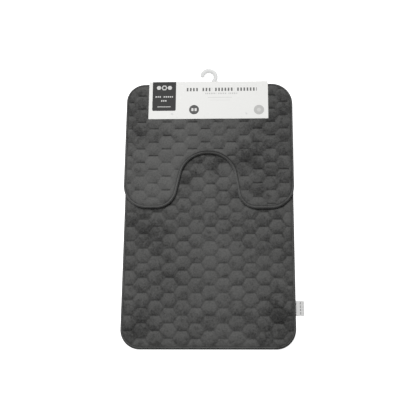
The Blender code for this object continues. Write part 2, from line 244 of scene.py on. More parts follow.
def new_finish(name, uniform):
    """A material whose Principled shader has these even values: (material, start, shader)."""
    material = bpy.data.materials.new(name)
    material.use_nodes = True
    shader = material.node_tree.nodes["Principled BSDF"]
    for socket, value in uniform.items():
        shader.inputs[socket].default_value = value
    return material, Shade(material.node_tree), shader


def add_object(name, mesh):
    made = bpy.data.objects.new(name, mesh)
    scene.collection.objects.link(made)
    return made


def rounded_outline(corners, inset=0.0):
    """The outline moved inwards, as an array of points with the same count at every inset.

    Each corner is x, y and radius, counter-clockwise. A radius shrinks by the inset at an
    outward corner and grows by it at an inward one.
    """
    count = len(corners)
    arcs = []
    for index, (x, y, radius) in enumerate(corners):
        corner = Vector((x, y))
        arriving = (corner - Vector(corners[index - 1][:2])).normalized()
        leaving = (Vector(corners[(index + 1) % count][:2]) - corner).normalized()
        turn = math.atan2(arriving.cross(leaving), arriving.dot(leaving))
        side = math.copysign(1.0, turn)
        back = radius * math.tan(abs(turn) / 2.0)
        centre = corner - arriving * back + Vector((-arriving.y, arriving.x)) * side * radius
        heading = math.atan2(arriving.y, arriving.x) - side * math.pi / 2.0
        steps = max(2, round(abs(turn) / ARC_STEP))
        angles = heading + turn * np.arange(steps + 1) / steps
        spokes = np.stack([np.cos(angles), np.sin(angles)], axis=1)
        arcs.append((np.array(centre), spokes, radius, side))
    points = []
    for index, (centre, spokes, radius, side) in enumerate(arcs):
        arc = centre + spokes * (radius - side * inset)
        next_centre, next_spokes, next_radius, next_side = arcs[(index + 1) % count]
        full_start = centre + spokes[-1] * radius
        full_end = next_centre + next_spokes[0] * next_radius
        steps = max(1, round(float(np.linalg.norm(full_end - full_start)) / OUTLINE_STEP))
        end = next_centre + next_spokes[0] * (next_radius - next_side * inset)
        share = (np.arange(1, steps) / steps)[:, None]
        points += [arc, arc[-1] + (end - arc[-1]) * share]
    return np.concatenate(points)


def inset_of(points, outline):
    """How far inside the outline each point is, negative outside."""
    ahead = np.roll(outline, -1, axis=0)
    run = ahead - outline
    length_squared = (run ** 2).sum(1)
    result = np.empty(len(points))
    for low in range(0, len(points), 4000):
        p = points[low:low + 4000, None, :]
        share = np.clip(((p - outline) * run).sum(2) / length_squared, 0.0, 1.0)
        distance = np.sqrt(((p - outline - share[..., None] * run) ** 2).sum(2).min(1))
        above = (outline[:, 1] > p[..., 1]) != (ahead[:, 1] > p[..., 1])
        rise = np.where(np.abs(run[:, 1]) < 1e-12, 1e-12, run[:, 1])
        crossing = outline[:, 0] + (p[..., 1] - outline[:, 1]) * run[:, 0] / rise
        inside = (above & (p[..., 0] < crossing)).sum(1) % 2 == 1
        result[low:low + 4000] = np.where(inside, distance, -distance)
    return result


# A quilt's pattern: a hexagon's middle, the pitches, how deep its slanted channels are when the
# level ones are 1, and how dark the level ones look.
Quilt = namedtuple("Quilt", "middle_x middle_y column_pitch row_pitch slanted_depth level_dark")


def hexagon_at(x, y, quilt):
    """How far inside its hexagon each point is, from its level channels and its slanted ones.

    Gives those two distances, then the hexagon's column and row.
    """
    origin_x, origin_y, column_pitch, row_pitch = quilt[:4]
    half_width = column_pitch / 1.5
    half_height = row_pitch / 2.0
    slope = math.hypot(half_height, half_width / 2.0)
    best = np.full(np.shape(x), -1.0)
    found = np.zeros(np.shape(x) + (4,))
    for step in (-1.0, 0.0, 1.0):
        column = np.round((x - origin_x) / column_pitch) + step
        shift = origin_y + np.where(np.mod(column, 2.0) == 1.0, half_height, 0.0)
        row = np.round((y - shift) / row_pitch)
        across = np.abs(x - origin_x - column * column_pitch)
        along = np.abs(y - shift - row * row_pitch)
        slanted = (half_width * half_height - half_height * across - half_width / 2.0 * along) / slope
        level = half_height - along
        inside = np.minimum(level, slanted)
        here = np.stack([level, slanted, column, row], axis=-1)
        found = np.where((inside > best)[..., None], here, found)
        best = np.maximum(best, inside)
    return [found[..., part] for part in range(4)]


def hexagon_points(outline, quilt):
    """Points on concentric hexagons in every cell, and the pairs that follow a channel."""
    origin_x, origin_y, column_pitch, row_pitch = quilt[:4]
    half_width = column_pitch / 1.5
    half_height = row_pitch / 2.0
    turning = [
        Vector((half_width, 0.0)), Vector((half_width / 2.0, half_height)),
        Vector((-half_width / 2.0, half_height)), Vector((-half_width, 0.0)),
        Vector((-half_width / 2.0, -half_height)), Vector((half_width / 2.0, -half_height)),
    ]
    low, high = outline.min(0), outline.max(0)
    columns = range(
        math.floor((low[0] - origin_x) / column_pitch) - 1,
        math.ceil((high[0] - origin_x) / column_pitch) + 2,
    )
    rows = range(
        math.floor((low[1] - origin_y) / row_pitch) - 1,
        math.ceil((high[1] - origin_y) / row_pitch) + 2,
    )
    places = {}
    pairs = set()

    def place(point):
        # The shift keeps the lattice off the halves, where two cells' shared point could round apart.
        key = (round(point.x / SHARED_WITHIN + OFF_HALVES), round(point.y / SHARED_WITHIN + OFF_HALVES))
        return places.setdefault(key, (len(places), (point.x, point.y)))[0]

    for column in columns:
        for row in rows:
            shift = half_height if column % 2 else 0.0
            centre = Vector((origin_x + column * column_pitch, origin_y + row * row_pitch + shift))
            place(centre)
            for inset in (0.0,) + CHANNEL_RINGS:
                share = 1.0 - inset / half_height
                steps = max(2, round(CHANNEL_STEPS * share))
                for start, end in zip(turning, turning[1:] + turning[:1]):
                    row_of = [
                        place(centre + start.lerp(end, step / steps) * share)
                        for step in range(steps + 1)
                    ]
                    if inset == 0.0:
                        pairs.update(tuple(sorted(pair)) for pair in zip(row_of, row_of[1:]))
    points = np.array([point for _, point in places.values()])
    return points, sorted(pairs)


def fill_inside(boundary, points, pairs):
    """Triangles between a closed boundary and the points inside it."""
    count = len(boundary)
    flat = [Vector(point) for point in np.concatenate([boundary, points])]
    edges = [(index, (index + 1) % count) for index in range(count)]
    edges += [(a + count, b + count) for a, b in pairs]
    placed, _, faces, _, _, _ = delaunay_2d_cdt(flat, edges, [], 1, 1e-7)
    assert len(placed) == len(flat)
    return [tuple(face) for face in faces]


def ring_faces(first, second, count):
    """The quads between two rings of the same count."""
    return [
        (first + i, first + (i + 1) % count, second + (i + 1) % count, second + i)
        for i in range(count)
    ]


def smooth_step(value):
    value = np.clip(value, 0.0, 1.0)
    return value * value * (3.0 - 2.0 * value)


def wavy(points, scale, seed):
    """Smooth noise from -1 to 1 at each point, with scale in waves a metre."""
    return np.array([
        noise.noise(Vector((point[0] * scale, point[1] * scale, seed))) for point in points
    ])


def card_tuck(points):
    """How far the bath mat's underside is pushed up, where the card's back panel lies."""
    low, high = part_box("header_card")
    past_edge = smooth_step((points[:, 1] - (low.y - 0.012)) / 0.011)
    from_side = np.maximum(low.x - points[:, 0], points[:, 0] - high.x)
    return TUCK_LIFT * past_edge * (1.0 - smooth_step((from_side - 0.001) / 0.012))


def cutout_top_nearness(points):
    """Nearness to the cut-out's top, where painted groove shade and rim highlight are stronger."""
    return np.exp(-(np.hypot(points[:, 0], points[:, 1] - 0.150) / 0.085) ** 4)


def pedestal_press_and_shadow(points):
    """Pressed-down pile and painted contact shadow on the bath mat along the mat above it."""
    distance = inset_of(points, rounded_outline(PEDESTAL_CORNERS))
    return 0.6 * np.exp(-((distance - 0.5 * MM) / (1.0 * MM)) ** 2)


def nowhere(points):
    return np.zeros(len(points))


def pad_height(points, inset, quilt):
    """The height of the pad's top above its base, inside the topstitch groove."""
    level, slanted, column, row = hexagon_at(points[:, 0], points[:, 1], quilt)
    half_height = quilt.row_pitch / 2.0
    from_level = (1.0 - np.clip(level / half_height, 0.0, 1.0)) ** PILLOW_POWER
    from_slanted = quilt.slanted_depth * (1.0 - np.clip(slanted / half_height, 0.0, 1.0)) ** PILLOW_POWER
    uneven = 0.25 * MM * np.sin(column * 12.9898 + row * 78.233)
    crown = CROWN_TOP - 0.3 * MM + uneven
    firm = 0.82 + 0.30 * wavy(points, 13.0, quilt.middle_y * 90.0)
    quilted = crown - (crown - CHANNEL_TOP) * firm * np.maximum(from_level, from_slanted)
    edge_insets = [section[0] for section in EDGE_SECTION[5:]]
    edge_heights = [section[1] for section in EDGE_SECTION[5:]]
    edge = np.interp(inset, edge_insets, edge_heights)
    into = smooth_step((inset - GROOVE_INSET) / (10.0 * MM))
    return np.where(inset > GROOVE_INSET, edge + (quilted - edge) * into, edge)


def swell(pad, pinned, ceiling):
    """Lets the velour swell between its pinned channels, then keeps the shape it takes."""
    start = np.array([vertex.co for vertex in pad.data.vertices])
    group = pad.vertex_groups.new(name="pinned")
    group.add([int(index) for index in np.nonzero(pinned)[0]], 1.0, "REPLACE")
    cloth = pad.modifiers.new("velour_swell", "CLOTH")
    cloth.settings.quality = 4
    cloth.settings.mass = 0.25
    cloth.settings.tension_stiffness = 12.0
    cloth.settings.compression_stiffness = 12.0
    cloth.settings.shear_stiffness = 6.0
    cloth.settings.bending_stiffness = 0.4
    cloth.settings.vertex_group_mass = "pinned"
    cloth.settings.use_pressure = True
    cloth.settings.uniform_pressure_force = 3.5
    cloth.settings.effector_weights.gravity = 0.0
    cloth.settings.shrink_min = -0.015
    cloth.collision_settings.use_collision = False
    cloth.point_cache.frame_start = 1
    cloth.point_cache.frame_end = SWELL_FRAMES
    for number in range(1, SWELL_FRAMES + 1):
        scene.frame_set(number)
    depsgraph = bpy.context.evaluated_depsgraph_get()
    posed = pad.evaluated_get(depsgraph).data
    moved = np.empty(len(start) * 3)
    posed.vertices.foreach_get("co", moved)
    pad.modifiers.remove(cloth)
    pad.vertex_groups.remove(group)
    scene.frame_set(1)
    travel = moved.reshape(-1, 3) - start
    length = np.linalg.norm(travel, axis=1, keepdims=True)
    travel *= np.minimum(1.0, MOST_SWELL / np.maximum(length, 1e-9))
    shaped = start + travel
    ease = 0.6 * MM
    over = shaped[:, 2] - (ceiling - ease)
    shaped[:, 2] = np.where(over > 0.0, ceiling - ease * np.exp(-over / ease), shaped[:, 2])
    pad.data.vertices.foreach_set("co", shaped.ravel())
    pad.data.update()


def make_pad(name, corners, quilt, base, strokes, tuck, press_and_shadow, dark_side):
    """The velour-wrapped foam of one mat: a closed form with quilted top and rolled rim.

    Each stroke is where a hand has brushed the pile: x, y, radius, and how much darker. The
    rim's colour has a painted highlight on its far side and painted shade on its near side,
    the shade by as much as dark_side says.
    """
    outline = rounded_outline(corners)
    count = len(outline)
    points = []
    heights = []
    for inset, height in EDGE_SECTION:
        ring = rounded_outline(corners, inset)
        pucker = wavy(ring, 55.0, base * 50.0) + 0.6 * wavy(ring, 130.0, base * 50.0 + 7.0)
        rise = height + 0.28 * MM * pucker * min(1.0, height / (8.0 * MM))
        if height > 11.8 * MM and inset > 3.0 * MM:
            quilted = pad_height(ring, np.full(count, inset), quilt)
            level, slanted, _, _ = hexagon_at(ring[:, 0], ring[:, 1], quilt)
            distance = np.minimum(level, slanted)
            rise = rise - 0.5 * MM * np.exp(-(distance / (2.5 * MM)) ** 2)
            rise = np.where(inset > GROOVE_INSET, quilted, rise)
        points.append(ring)
        heights.append(base + rise + tuck(ring) * (height < 2.0 * MM))

    inner_inset = EDGE_SECTION[-1][0]
    filling, pairs = hexagon_points(outline, quilt)
    depth = inset_of(filling, outline)
    keep = depth > inner_inset + 1.3 * MM
    renumber = np.cumsum(keep) - 1
    pairs = [(int(renumber[a]), int(renumber[b])) for a, b in pairs if keep[a] and keep[b]]
    filling = filling[keep]
    top_start = (len(EDGE_SECTION) - 1) * count
    top = [
        tuple(top_start + index for index in face)
        for face in fill_inside(points[-1], filling, pairs)
    ]
    points.append(filling)
    heights.append(base + pad_height(filling, depth[keep], quilt))

    bottom_step = 12.0 * MM
    low, high = outline.min(0), outline.max(0)
    grid = np.array([
        (x, y)
        for x in np.arange(low[0], high[0], bottom_step)
        for y in np.arange(low[1], high[1], bottom_step)
    ])
    grid = grid[inset_of(grid, outline) > EDGE_SECTION[0][0] + 0.5 * bottom_step]
    bottom_start = len(EDGE_SECTION) * count + len(filling)
    bottom = [
        tuple(index if index < count else bottom_start + index - count for index in reversed(face))
        for face in fill_inside(points[0], grid, [])
    ]
    points.append(grid)
    heights.append(base + EDGE_SECTION[0][1] + tuck(grid))

    faces = bottom + top
    for ring in range(len(EDGE_SECTION) - 1):
        faces += ring_faces(ring * count, (ring + 1) * count, count)
    flat = np.concatenate(points)
    height = np.concatenate(heights)
    mesh = bpy.data.meshes.new(name)
    mesh.from_pydata(np.column_stack([flat, height]).tolist(), [], faces)
    mesh.validate()
    mesh.shade_smooth()
    pad = add_object(name, mesh)

    rim_insets = np.repeat([section[0] for section in EDGE_SECTION], count)
    inset = np.concatenate([rim_insets, depth[keep], np.full(len(grid), 1.0)])
    level, slanted, column, row = hexagon_at(flat[:, 0], flat[:, 1], quilt)
    distance = np.minimum(level, slanted)
    near_cutout_top = cutout_top_nearness(flat)
    seed = base * 50.0

    # Crushed pile and painted shade along the quilting channels, most along the level ones.
    from_slanted = (quilt.slanted_depth - 0.35) * np.exp(-(slanted / (2.2 * MM)) ** 2)
    channel_crush_and_shade = np.maximum(quilt.level_dark * np.exp(-(level / (1.7 * MM)) ** 2), from_slanted)
    channel_crush_and_shade *= smooth_step((inset - GROOVE_INSET) / (4.0 * MM))
    channel_crush_and_shade *= 0.85 + 0.65 * wavy(flat, 13.0, quilt.middle_y * 90.0)
    # Painted shade along the topstitch groove: deeper near the cut-out's top, fainter on the bath mat.
    groove = np.exp(-((inset - GROOVE_INSET + 1.4 * MM * near_cutout_top) / ((1.3 + 0.6 * near_cutout_top) * MM)) ** 2)
    groove *= (0.60 + 0.45 * wavy(flat, 9.0, seed + 3.0)) * (1.0 - 0.45 * dark_side) + 1.1 * near_cutout_top
    # Painted shade on the rim's lower side wall.
    under = 0.9 * (1.0 - smooth_step((height - base - 1.5 * MM) / (4.0 * MM))) * (inset < GROOVE_INSET)
    # Each point keeps its darkest mark: crushed pile and painted shade together.
    marks = np.stack([channel_crush_and_shade, groove, under, press_and_shadow(flat)]).max(0)
    crush_and_shade = mesh.attributes.new("crush_and_shade", "FLOAT", "POINT")
    crush_and_shade.data.foreach_set("value", np.minimum(marks, DARKEST_MARK).astype(np.float32))

    half_height = quilt.row_pitch / 2.0
    shift = np.where(np.mod(column, 2.0) == 1.0, half_height, 0.0)
    # Painted light and shade over each pillow, lighter towards the hook end and darker on the near side;
    # the sine term is a random tone per cell.
    from_middle = (flat[:, 1] - quilt.middle_y - shift) / half_height - 2.0 * row
    tone_and_light = 0.20 * np.sin(column * 3.7 + row * 5.3) * np.sin(column * 1.3 - row * 2.9)
    tone_and_light = (tone_and_light + 0.50 * from_middle) * smooth_step(distance / (4.0 * MM)) * (inset > GROOVE_INSET)
    # Painted highlight along the top of the rim's roll.
    crest = (3.6 + 2.0 * dark_side - 1.6 * near_cutout_top) * MM
    rim_highlight = np.exp(-((inset - crest) / (1.3 * MM)) ** 2) * (height > base + 8.0 * MM)
    tone_and_light += (0.32 + 0.40 * dark_side + 0.25 * near_cutout_top) * rim_highlight
    tone_and_light += 0.40 * wavy(flat, 24.0, seed + 11.0) + 0.35 * wavy(flat, 55.0, seed + 17.0)
    # Painted shade on the rim's near side and a painted highlight on its far side.
    along = np.roll(outline, -1, axis=0) - np.roll(outline, 1, axis=0)
    facing = (0.55 * along[:, 1] + 0.83 * along[:, 0]) / np.linalg.norm(along, axis=1)
    facing = np.tile(np.where(facing > 0.0, dark_side * facing, facing), len(EDGE_SECTION))
    rim = np.exp(-(inset[:len(facing)] / ((3.1 + 0.9 * dark_side) * MM)) ** 2)
    tone_and_light[:len(facing)] -= 1.5 * facing * rim
    for x, y, radius, depth_of_shade in strokes:
        reach = np.hypot(flat[:, 0] - x, flat[:, 1] - y) / radius
        tone_and_light -= depth_of_shade * np.exp(-reach ** 2)
    pile = mesh.attributes.new("pile_tone_and_light", "FLOAT", "POINT")
    pile.data.foreach_set("value", tone_and_light.astype(np.float32))

    free = (inset > GROOVE_INSET + 1.0 * MM) & (distance > 0.6 * MM)
    free &= np.arange(len(flat)) < bottom_start
    free &= height > base + 8.0 * MM
    swell(pad, ~free, base + CROWN_TOP)
    return pad


def velour_finish():
    """Short velour pile: matt, soft sheen, and a colour with crushed pile and painted light and shade."""
    charcoal = (0.084, 0.084, 0.0822)
    material, start, shader = new_finish("charcoal_velour", {
        "Sheen Weight": 0.22, "Sheen Roughness": 0.45, "Sheen Tint": (0.9, 0.9, 0.92, 1.0),
        "Specular IOR Level": 0.12,
    })
    where = start.node("TexCoord", output=3)
    crush_and_shade = start.node("Attribute", {"attribute_name": "crush_and_shade"}, output=2)
    tone_and_light = start.node("Attribute", {"attribute_name": "pile_tone_and_light"}, output=2)
    broad = start.noise(11.0, 2.0, where)
    patches = start.node("TexNoise", None, {
        "Vector": where, "Scale": 60.0, "Detail": 5.0, "Roughness": 0.68, "Distortion": 0.7,
    })
    flecks = start.noise(230.0, 3.0, where)
    tufts = start.noise(420.0, 2.0, where)
    fibres = start.noise(1900.0, 2.0, where)
    brushed_back = ((patches - 0.53 + 0.15 * (0.30 - tone_and_light) + 0.10 * (broad - 0.5)) * 8.0).clamp()
    spots = ((start.noise(150.0, 3.0, where) - 0.50) * 9.0).clamp()
    # Random pile tone with painted light and shade, then darkened by crushed pile and painted shade.
    shade = 1.09 - 0.28 * brushed_back + 0.26 * (broad - 0.5) + 0.35 * (patches - 0.5)
    shade = shade + 0.85 * (flecks - 0.5) + 0.50 * (tufts - 0.5) + 0.35 * (fibres - 0.5) + 0.26 * tone_and_light
    shade = (shade - 0.16 * brushed_back * spots) * (1.0 - 0.58 * crush_and_shade)
    start.scaled(charcoal, shade).feed(shader, "Base Color")
    (0.97 - 0.10 * crush_and_shade - 0.10 * fibres).feed(shader, "Roughness")
    relief = tufts * 0.5 + fibres * 0.5 + patches * 0.8
    relief.emboss(shader, 0.55, 1.2 * MM)
    return material


BATH_MAT_CORNERS = [
    (-0.250, -0.400, 0.056), (0.250, -0.398, 0.057), (0.250, 0.400, 0.066), (-0.250, 0.400, 0.054),
]
PEDESTAL_CORNERS = [
    (-0.2530, 0.0085, 0.070), (-0.1060, 0.0085, 0.060), (-0.0700, 0.1768, 0.080), (0.0660, 0.1768, 0.078),
    (0.0955, 0.0064, 0.055), (0.2515, 0.0064, 0.070), (0.2515, 0.4000, 0.064), (-0.2530, 0.4000, 0.056),
]
BATH_MAT_QUILT = Quilt(0.0052, -0.1090, 0.0391, 0.0433, 0.75, 0.95)
BATH_MAT_STROKES = [
    (-0.215, -0.335, 0.060, 0.70), (0.205, -0.290, 0.045, 0.75), (-0.200, -0.030, 0.050, 0.60),
    (-0.110, -0.190, 0.045, 0.50), (0.205, -0.360, 0.060, 0.55), (-0.150, -0.080, 0.050, 0.45),
    (0.225, -0.100, 0.070, 0.35), (0.020, -0.150, 0.120, -0.35), (0.000, 0.080, 0.060, -0.45),
    (0.110, -0.060, 0.050, 0.30), (-0.045, 0.118, 0.016, 0.80), (0.010, 0.146, 0.024, 0.75),
    (-0.032, 0.158, 0.018, 0.70), (-0.070, 0.098, 0.018, 0.80), (0.084, 0.058, 0.018, 0.60),
    (-0.060, 0.146, 0.012, 0.60), (0.034, 0.160, 0.014, 0.50),
]
velour = velour_finish()
bath_mat_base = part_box("bath_mat_backing")[0].z
bath_pad = make_pad(
    "bath_mat_velour_pad", BATH_MAT_CORNERS, BATH_MAT_QUILT, bath_mat_base, BATH_MAT_STROKES,
    card_tuck, pedestal_press_and_shadow, 1.0,
)
bath_pad.data.materials.append(velour)
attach(bath_pad, "base")
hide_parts("bath_mat_cover", "bath_mat_foam")


# ---------------------------------------------------------------- Bath mat topstitch
# One row of dark polyester lockstitch round the mat, about 7 mm in from the edge. Each
# stitch is an arch of thread in the groove, and the same row shows under the backing.

STITCH_LENGTH = 3.2 * MM
STITCH_GAP = 0.7 * MM
THREAD_RADIUS = 0.42 * MM
THREAD_SIDES = 6
BACKING_BOTTOM = 0.85 * MM
# Rings along one stitch: place from -1 to 1, width and rise in thread radii.
STITCH_PROFILE = [
    (-1.0, 0.35, -0.75), (-0.78, 0.9, -0.1), (0.0, 1.0, 0.25), (0.78, 0.9, -0.1), (1.0, 0.35, -0.75),
]


def spaced_along(outline, step):
    """Points at even steps round a closed outline, with the direction at each."""
    closed = np.concatenate([outline, outline[:1]])
    lengths = np.linalg.norm(np.diff(closed, axis=0), axis=1)
    along = np.concatenate([[0.0], np.cumsum(lengths)])
    count = round(along[-1] / step)
    places = np.arange(count) / count * along[-1]
    points = np.stack([np.interp(places, along, closed[:, axis]) for axis in (0, 1)], axis=1)
    ahead = np.mod(places + 0.5 * step, along[-1])
    behind = np.mod(places - 0.5 * step, along[-1])
    heading = np.stack([
        np.interp(ahead, along, closed[:, axis]) - np.interp(behind, along, closed[:, axis])
        for axis in (0, 1)
    ], axis=1)
    return points, heading / np.linalg.norm(heading, axis=1, keepdims=True)


def make_stitching(name, corners, rows):
    """Rows of single stitches along the groove. Each row is a height for its points and a side."""
    points, heading = spaced_along(rounded_outline(corners, GROOVE_INSET), STITCH_LENGTH + STITCH_GAP)
    across = np.stack([-heading[:, 1], heading[:, 0]], axis=1)
    turns = np.arange(THREAD_SIDES) / THREAD_SIDES * 2.0 * math.pi
    vertices = []
    faces = []
    for height_of, side in rows:
        for index, (point, along, aside, height) in enumerate(
            zip(points, heading, across, height_of(points))
        ):
            first = len(vertices)
            drift = 0.12 * MM * math.sin(index * 1.7)
            for place, width, rise in STITCH_PROFILE:
                centre = point + along * place * STITCH_LENGTH / 2.0 + aside * drift
                for turn in turns:
                    spot = centre + aside * math.cos(turn) * THREAD_RADIUS * width
                    lift = (rise + width * math.sin(turn)) * THREAD_RADIUS
                    vertices.append((spot[0], spot[1], height + side * lift))
            rings = [first + ring * THREAD_SIDES for ring in range(len(STITCH_PROFILE))]
            quads = [
                quad for low, high in zip(rings, rings[1:]) for quad in ring_faces(low, high, THREAD_SIDES)
            ]
            quads.append(tuple(range(rings[0] + THREAD_SIDES - 1, rings[0] - 1, -1)))
            quads.append(tuple(range(rings[-1], rings[-1] + THREAD_SIDES)))
            faces += quads if side > 0.0 else [quad[::-1] for quad in quads]
    mesh = bpy.data.meshes.new(name)
    mesh.from_pydata(vertices, [], faces)
    mesh.shade_smooth()
    return add_object(name, mesh)


def thread_finish():
    """Spun polyester: fine twist across each stitch and a slight gloss."""
    material, start, shader = new_finish("charcoal_thread", {"Specular IOR Level": 0.35})
    where = start.node("TexCoord", output=3)
    strands = start.noise(3200.0, 2.0, where)
    start.scaled((0.050, 0.050, 0.050), 0.7 + 0.6 * strands).feed(shader, "Base Color")
    (0.75 - 0.2 * strands).feed(shader, "Roughness")
    strands.emboss(shader, 0.6, 0.2 * MM)
    return material


def groove_row(base):
    """The thread's height in the groove on top of a mat."""
    return lambda points: np.full(len(points), base + GROOVE_BOTTOM + 0.75 * THREAD_RADIUS)


def backing_row(base, tuck):
    """The thread's height under a mat's backing."""
    return lambda points: base + BACKING_BOTTOM - 0.5 * THREAD_RADIUS + tuck(points)


thread = thread_finish()
bath_stitching = make_stitching("bath_mat_stitching", BATH_MAT_CORNERS, [
    (groove_row(bath_mat_base), 1.0), (backing_row(bath_mat_base, card_tuck), -1.0),
])
bath_stitching.data.materials.append(thread)
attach(bath_stitching, "base")
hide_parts("bath_mat_topstitch")


# ---------------------------------------------------------------- Bath mat grip backing
# A knitted grey backing cloth, sewn in under the rim, with rows of PVC dots printed on it
# for grip. The mat stands on the dots. None are left where the card's back panel presses.

BACKING_TOP = 1.25 * MM
DOT_PITCH = 8.0 * MM
DOT_RADIUS = 1.5 * MM
DOT_SIDES = 8


def make_grip_backing(name, corners, base, tuck):
    """The backing cloth of one mat and its dots, which reach down to the base height."""
    outline = rounded_outline(corners)
    edge = rounded_outline(corners, HEM_INSET)
    count = len(edge)
    low, high = outline.min(0), outline.max(0)
    step = 9.0 * MM
    grid = np.array([
        (x, y) for x in np.arange(low[0], high[0], step) for y in np.arange(low[1], high[1], step)
    ])
    grid = grid[inset_of(grid, outline) > HEM_INSET + 0.5 * step]
    flat = np.concatenate([edge, grid])
    lift = tuck(flat)
    cloth = fill_inside(edge, grid, [])
    total = len(flat)
    vertices = [(x, y, base + BACKING_TOP + rise) for (x, y), rise in zip(flat, lift)]
    vertices += [(x, y, base + BACKING_BOTTOM + rise) for (x, y), rise in zip(flat, lift)]
    faces = list(cloth) + [tuple(total + index for index in face[::-1]) for face in cloth]
    faces += ring_faces(total, 0, count)
    cloth_faces = len(faces)

    row_pitch = DOT_PITCH * math.sqrt(3.0) / 2.0
    spots = np.array([
        (x + DOT_PITCH / 2.0 * (row % 2), y)
        for row, y in enumerate(np.arange(low[1], high[1], row_pitch))
        for x in np.arange(low[0], high[0], DOT_PITCH)
    ])
    spots = spots[inset_of(spots, outline) > GROOVE_INSET + 2.5 * MM]
    spots = spots[tuck(spots) < 0.02 * MM]
    turns = np.arange(DOT_SIDES) / DOT_SIDES * 2.0 * math.pi
    circle = np.stack([np.cos(turns), np.sin(turns)], axis=1)
    sink = base + BACKING_BOTTOM + 0.15 * MM
    for spot in spots:
        first = len(vertices)
        for share, height in ((1.0, sink), (0.92, base + 0.35 * MM), (0.55, base)):
            vertices += [(x, y, height) for x, y in spot + circle * DOT_RADIUS * share]
        faces += [face[::-1] for face in ring_faces(first, first + DOT_SIDES, DOT_SIDES)]
        faces += [face[::-1] for face in ring_faces(first + DOT_SIDES, first + 2 * DOT_SIDES, DOT_SIDES)]
        faces.append(tuple(range(first, first + DOT_SIDES)))
        faces.append(tuple(range(first + 3 * DOT_SIDES - 1, first + 2 * DOT_SIDES - 1, -1)))
    mesh = bpy.data.meshes.new(name)
    mesh.from_pydata(vertices, [], faces)
    on_dots = np.arange(len(mesh.polygons)) >= cloth_faces
    mesh.shade_smooth()
    mesh.polygons.foreach_set("material_index", on_dots.astype(np.int32))
    mesh.update()
    return add_object(name, mesh)


def backing_finish():
    """Knitted polyester backing cloth with a fine rib."""
    material, start, shader = new_finish("backing_cloth", {"Specular IOR Level": 0.25})
    where = start.node("TexCoord", output=3)
    ribs = start.node(
        "TexWave", {"wave_type": "BANDS", "bands_direction": "X"},
        {"Vector": where, "Scale": 260.0, "Distortion": 1.2, "Detail": 1.0},
        output=1,
    )
    courses = start.node(
        "TexWave", {"wave_type": "BANDS", "bands_direction": "Y"},
        {"Vector": where, "Scale": 200.0, "Distortion": 1.5, "Detail": 1.0},
        output=1,
    )
    lint = start.noise(900.0, 2.0, where)
    knit = ribs * courses
    start.scaled((0.20, 0.20, 0.21), 0.75 + 0.3 * knit + 0.25 * (lint - 0.5)).feed(shader, "Base Color")
    (0.85 - 0.1 * knit).feed(shader, "Roughness")
    (knit + lint * 0.4).emboss(shader, 0.6, 0.3 * MM)
    return material


def dot_finish():
    """Soft grey PVC, cast a little uneven."""
    material, start, shader = new_finish("grip_dots", {"Specular IOR Level": 0.5})
    where = start.node("TexCoord", output=3)
    uneven = start.noise(300.0, 2.0, where)
    start.scaled((0.11, 0.11, 0.115), 0.8 + 0.4 * uneven).feed(shader, "Base Color")
    (0.42 + 0.16 * uneven).feed(shader, "Roughness")
    uneven.emboss(shader, 0.3, 0.2 * MM)
    return material


backing_cloth = backing_finish()
grip_dots = dot_finish()
bath_backing = make_grip_backing("bath_mat_grip_backing", BATH_MAT_CORNERS, bath_mat_base, card_tuck)
bath_backing.data.materials.append(backing_cloth)
bath_backing.data.materials.append(grip_dots)
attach(bath_backing, "base")
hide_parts("bath_mat_backing")


# ---------------------------------------------------------------- Care label
# A strip of woven satin ribbon folded in half and caught by its two ends in the right-hand
# seam. Its print is rows of plain dashes with no wording.

LABEL_LAYER = 0.12 * MM
LABEL_TAIL = 1.2 * MM


def make_care_label():
    low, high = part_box("care_label")
    middle = (low.z + high.z) / 2.0
    fold = (high.z - low.z) / 2.0 - LABEL_LAYER
    reach = high.x - fold - LABEL_LAYER
    tail = low.x - LABEL_TAIL
    path = []
    for step in range(13):
        share = step / 12.0
        path.append((tail + (reach - tail) * share, middle - fold * (0.6 + 0.4 * share)))
    for step in range(1, 8):
        angle = -math.pi / 2.0 + math.pi * step / 8.0
        path.append((reach + fold * math.cos(angle), middle + fold * math.sin(angle)))
    for step in range(13):
        share = 1.0 - step / 12.0
        path.append((tail + (reach - tail) * share, middle + fold * (0.6 + 0.4 * share)))
    columns = 24
    bm = bmesh.new()
    rows = []
    for step in range(columns + 1):
        share = step / columns
        y = low.y + (high.y - low.y) * share
        fray = 0.10 * MM * math.sin(step * 2.4)
        rows.append([
            bm.verts.new((x + fray * (x > reach), y, z + 0.06 * MM * math.sin(share * 7.0 + x * 300.0)))
            for x, z in path
        ])
    for one, two in zip(rows, rows[1:]):
        for corner in range(len(path) - 1):
            bm.faces.new((one[corner], one[corner + 1], two[corner + 1], two[corner]))
    bmesh.ops.recalc_face_normals(bm, faces=bm.faces)
    mesh = bpy.data.meshes.new("care_label_ribbon")
    bm.to_mesh(mesh)
    bm.free()
    mesh.shade_smooth()
    label = add_object("care_label_ribbon", mesh)
    thick = label.modifiers.new("ribbon_thickness", "SOLIDIFY")
    thick.thickness = LABEL_LAYER
    thick.offset = 0.0
    return label


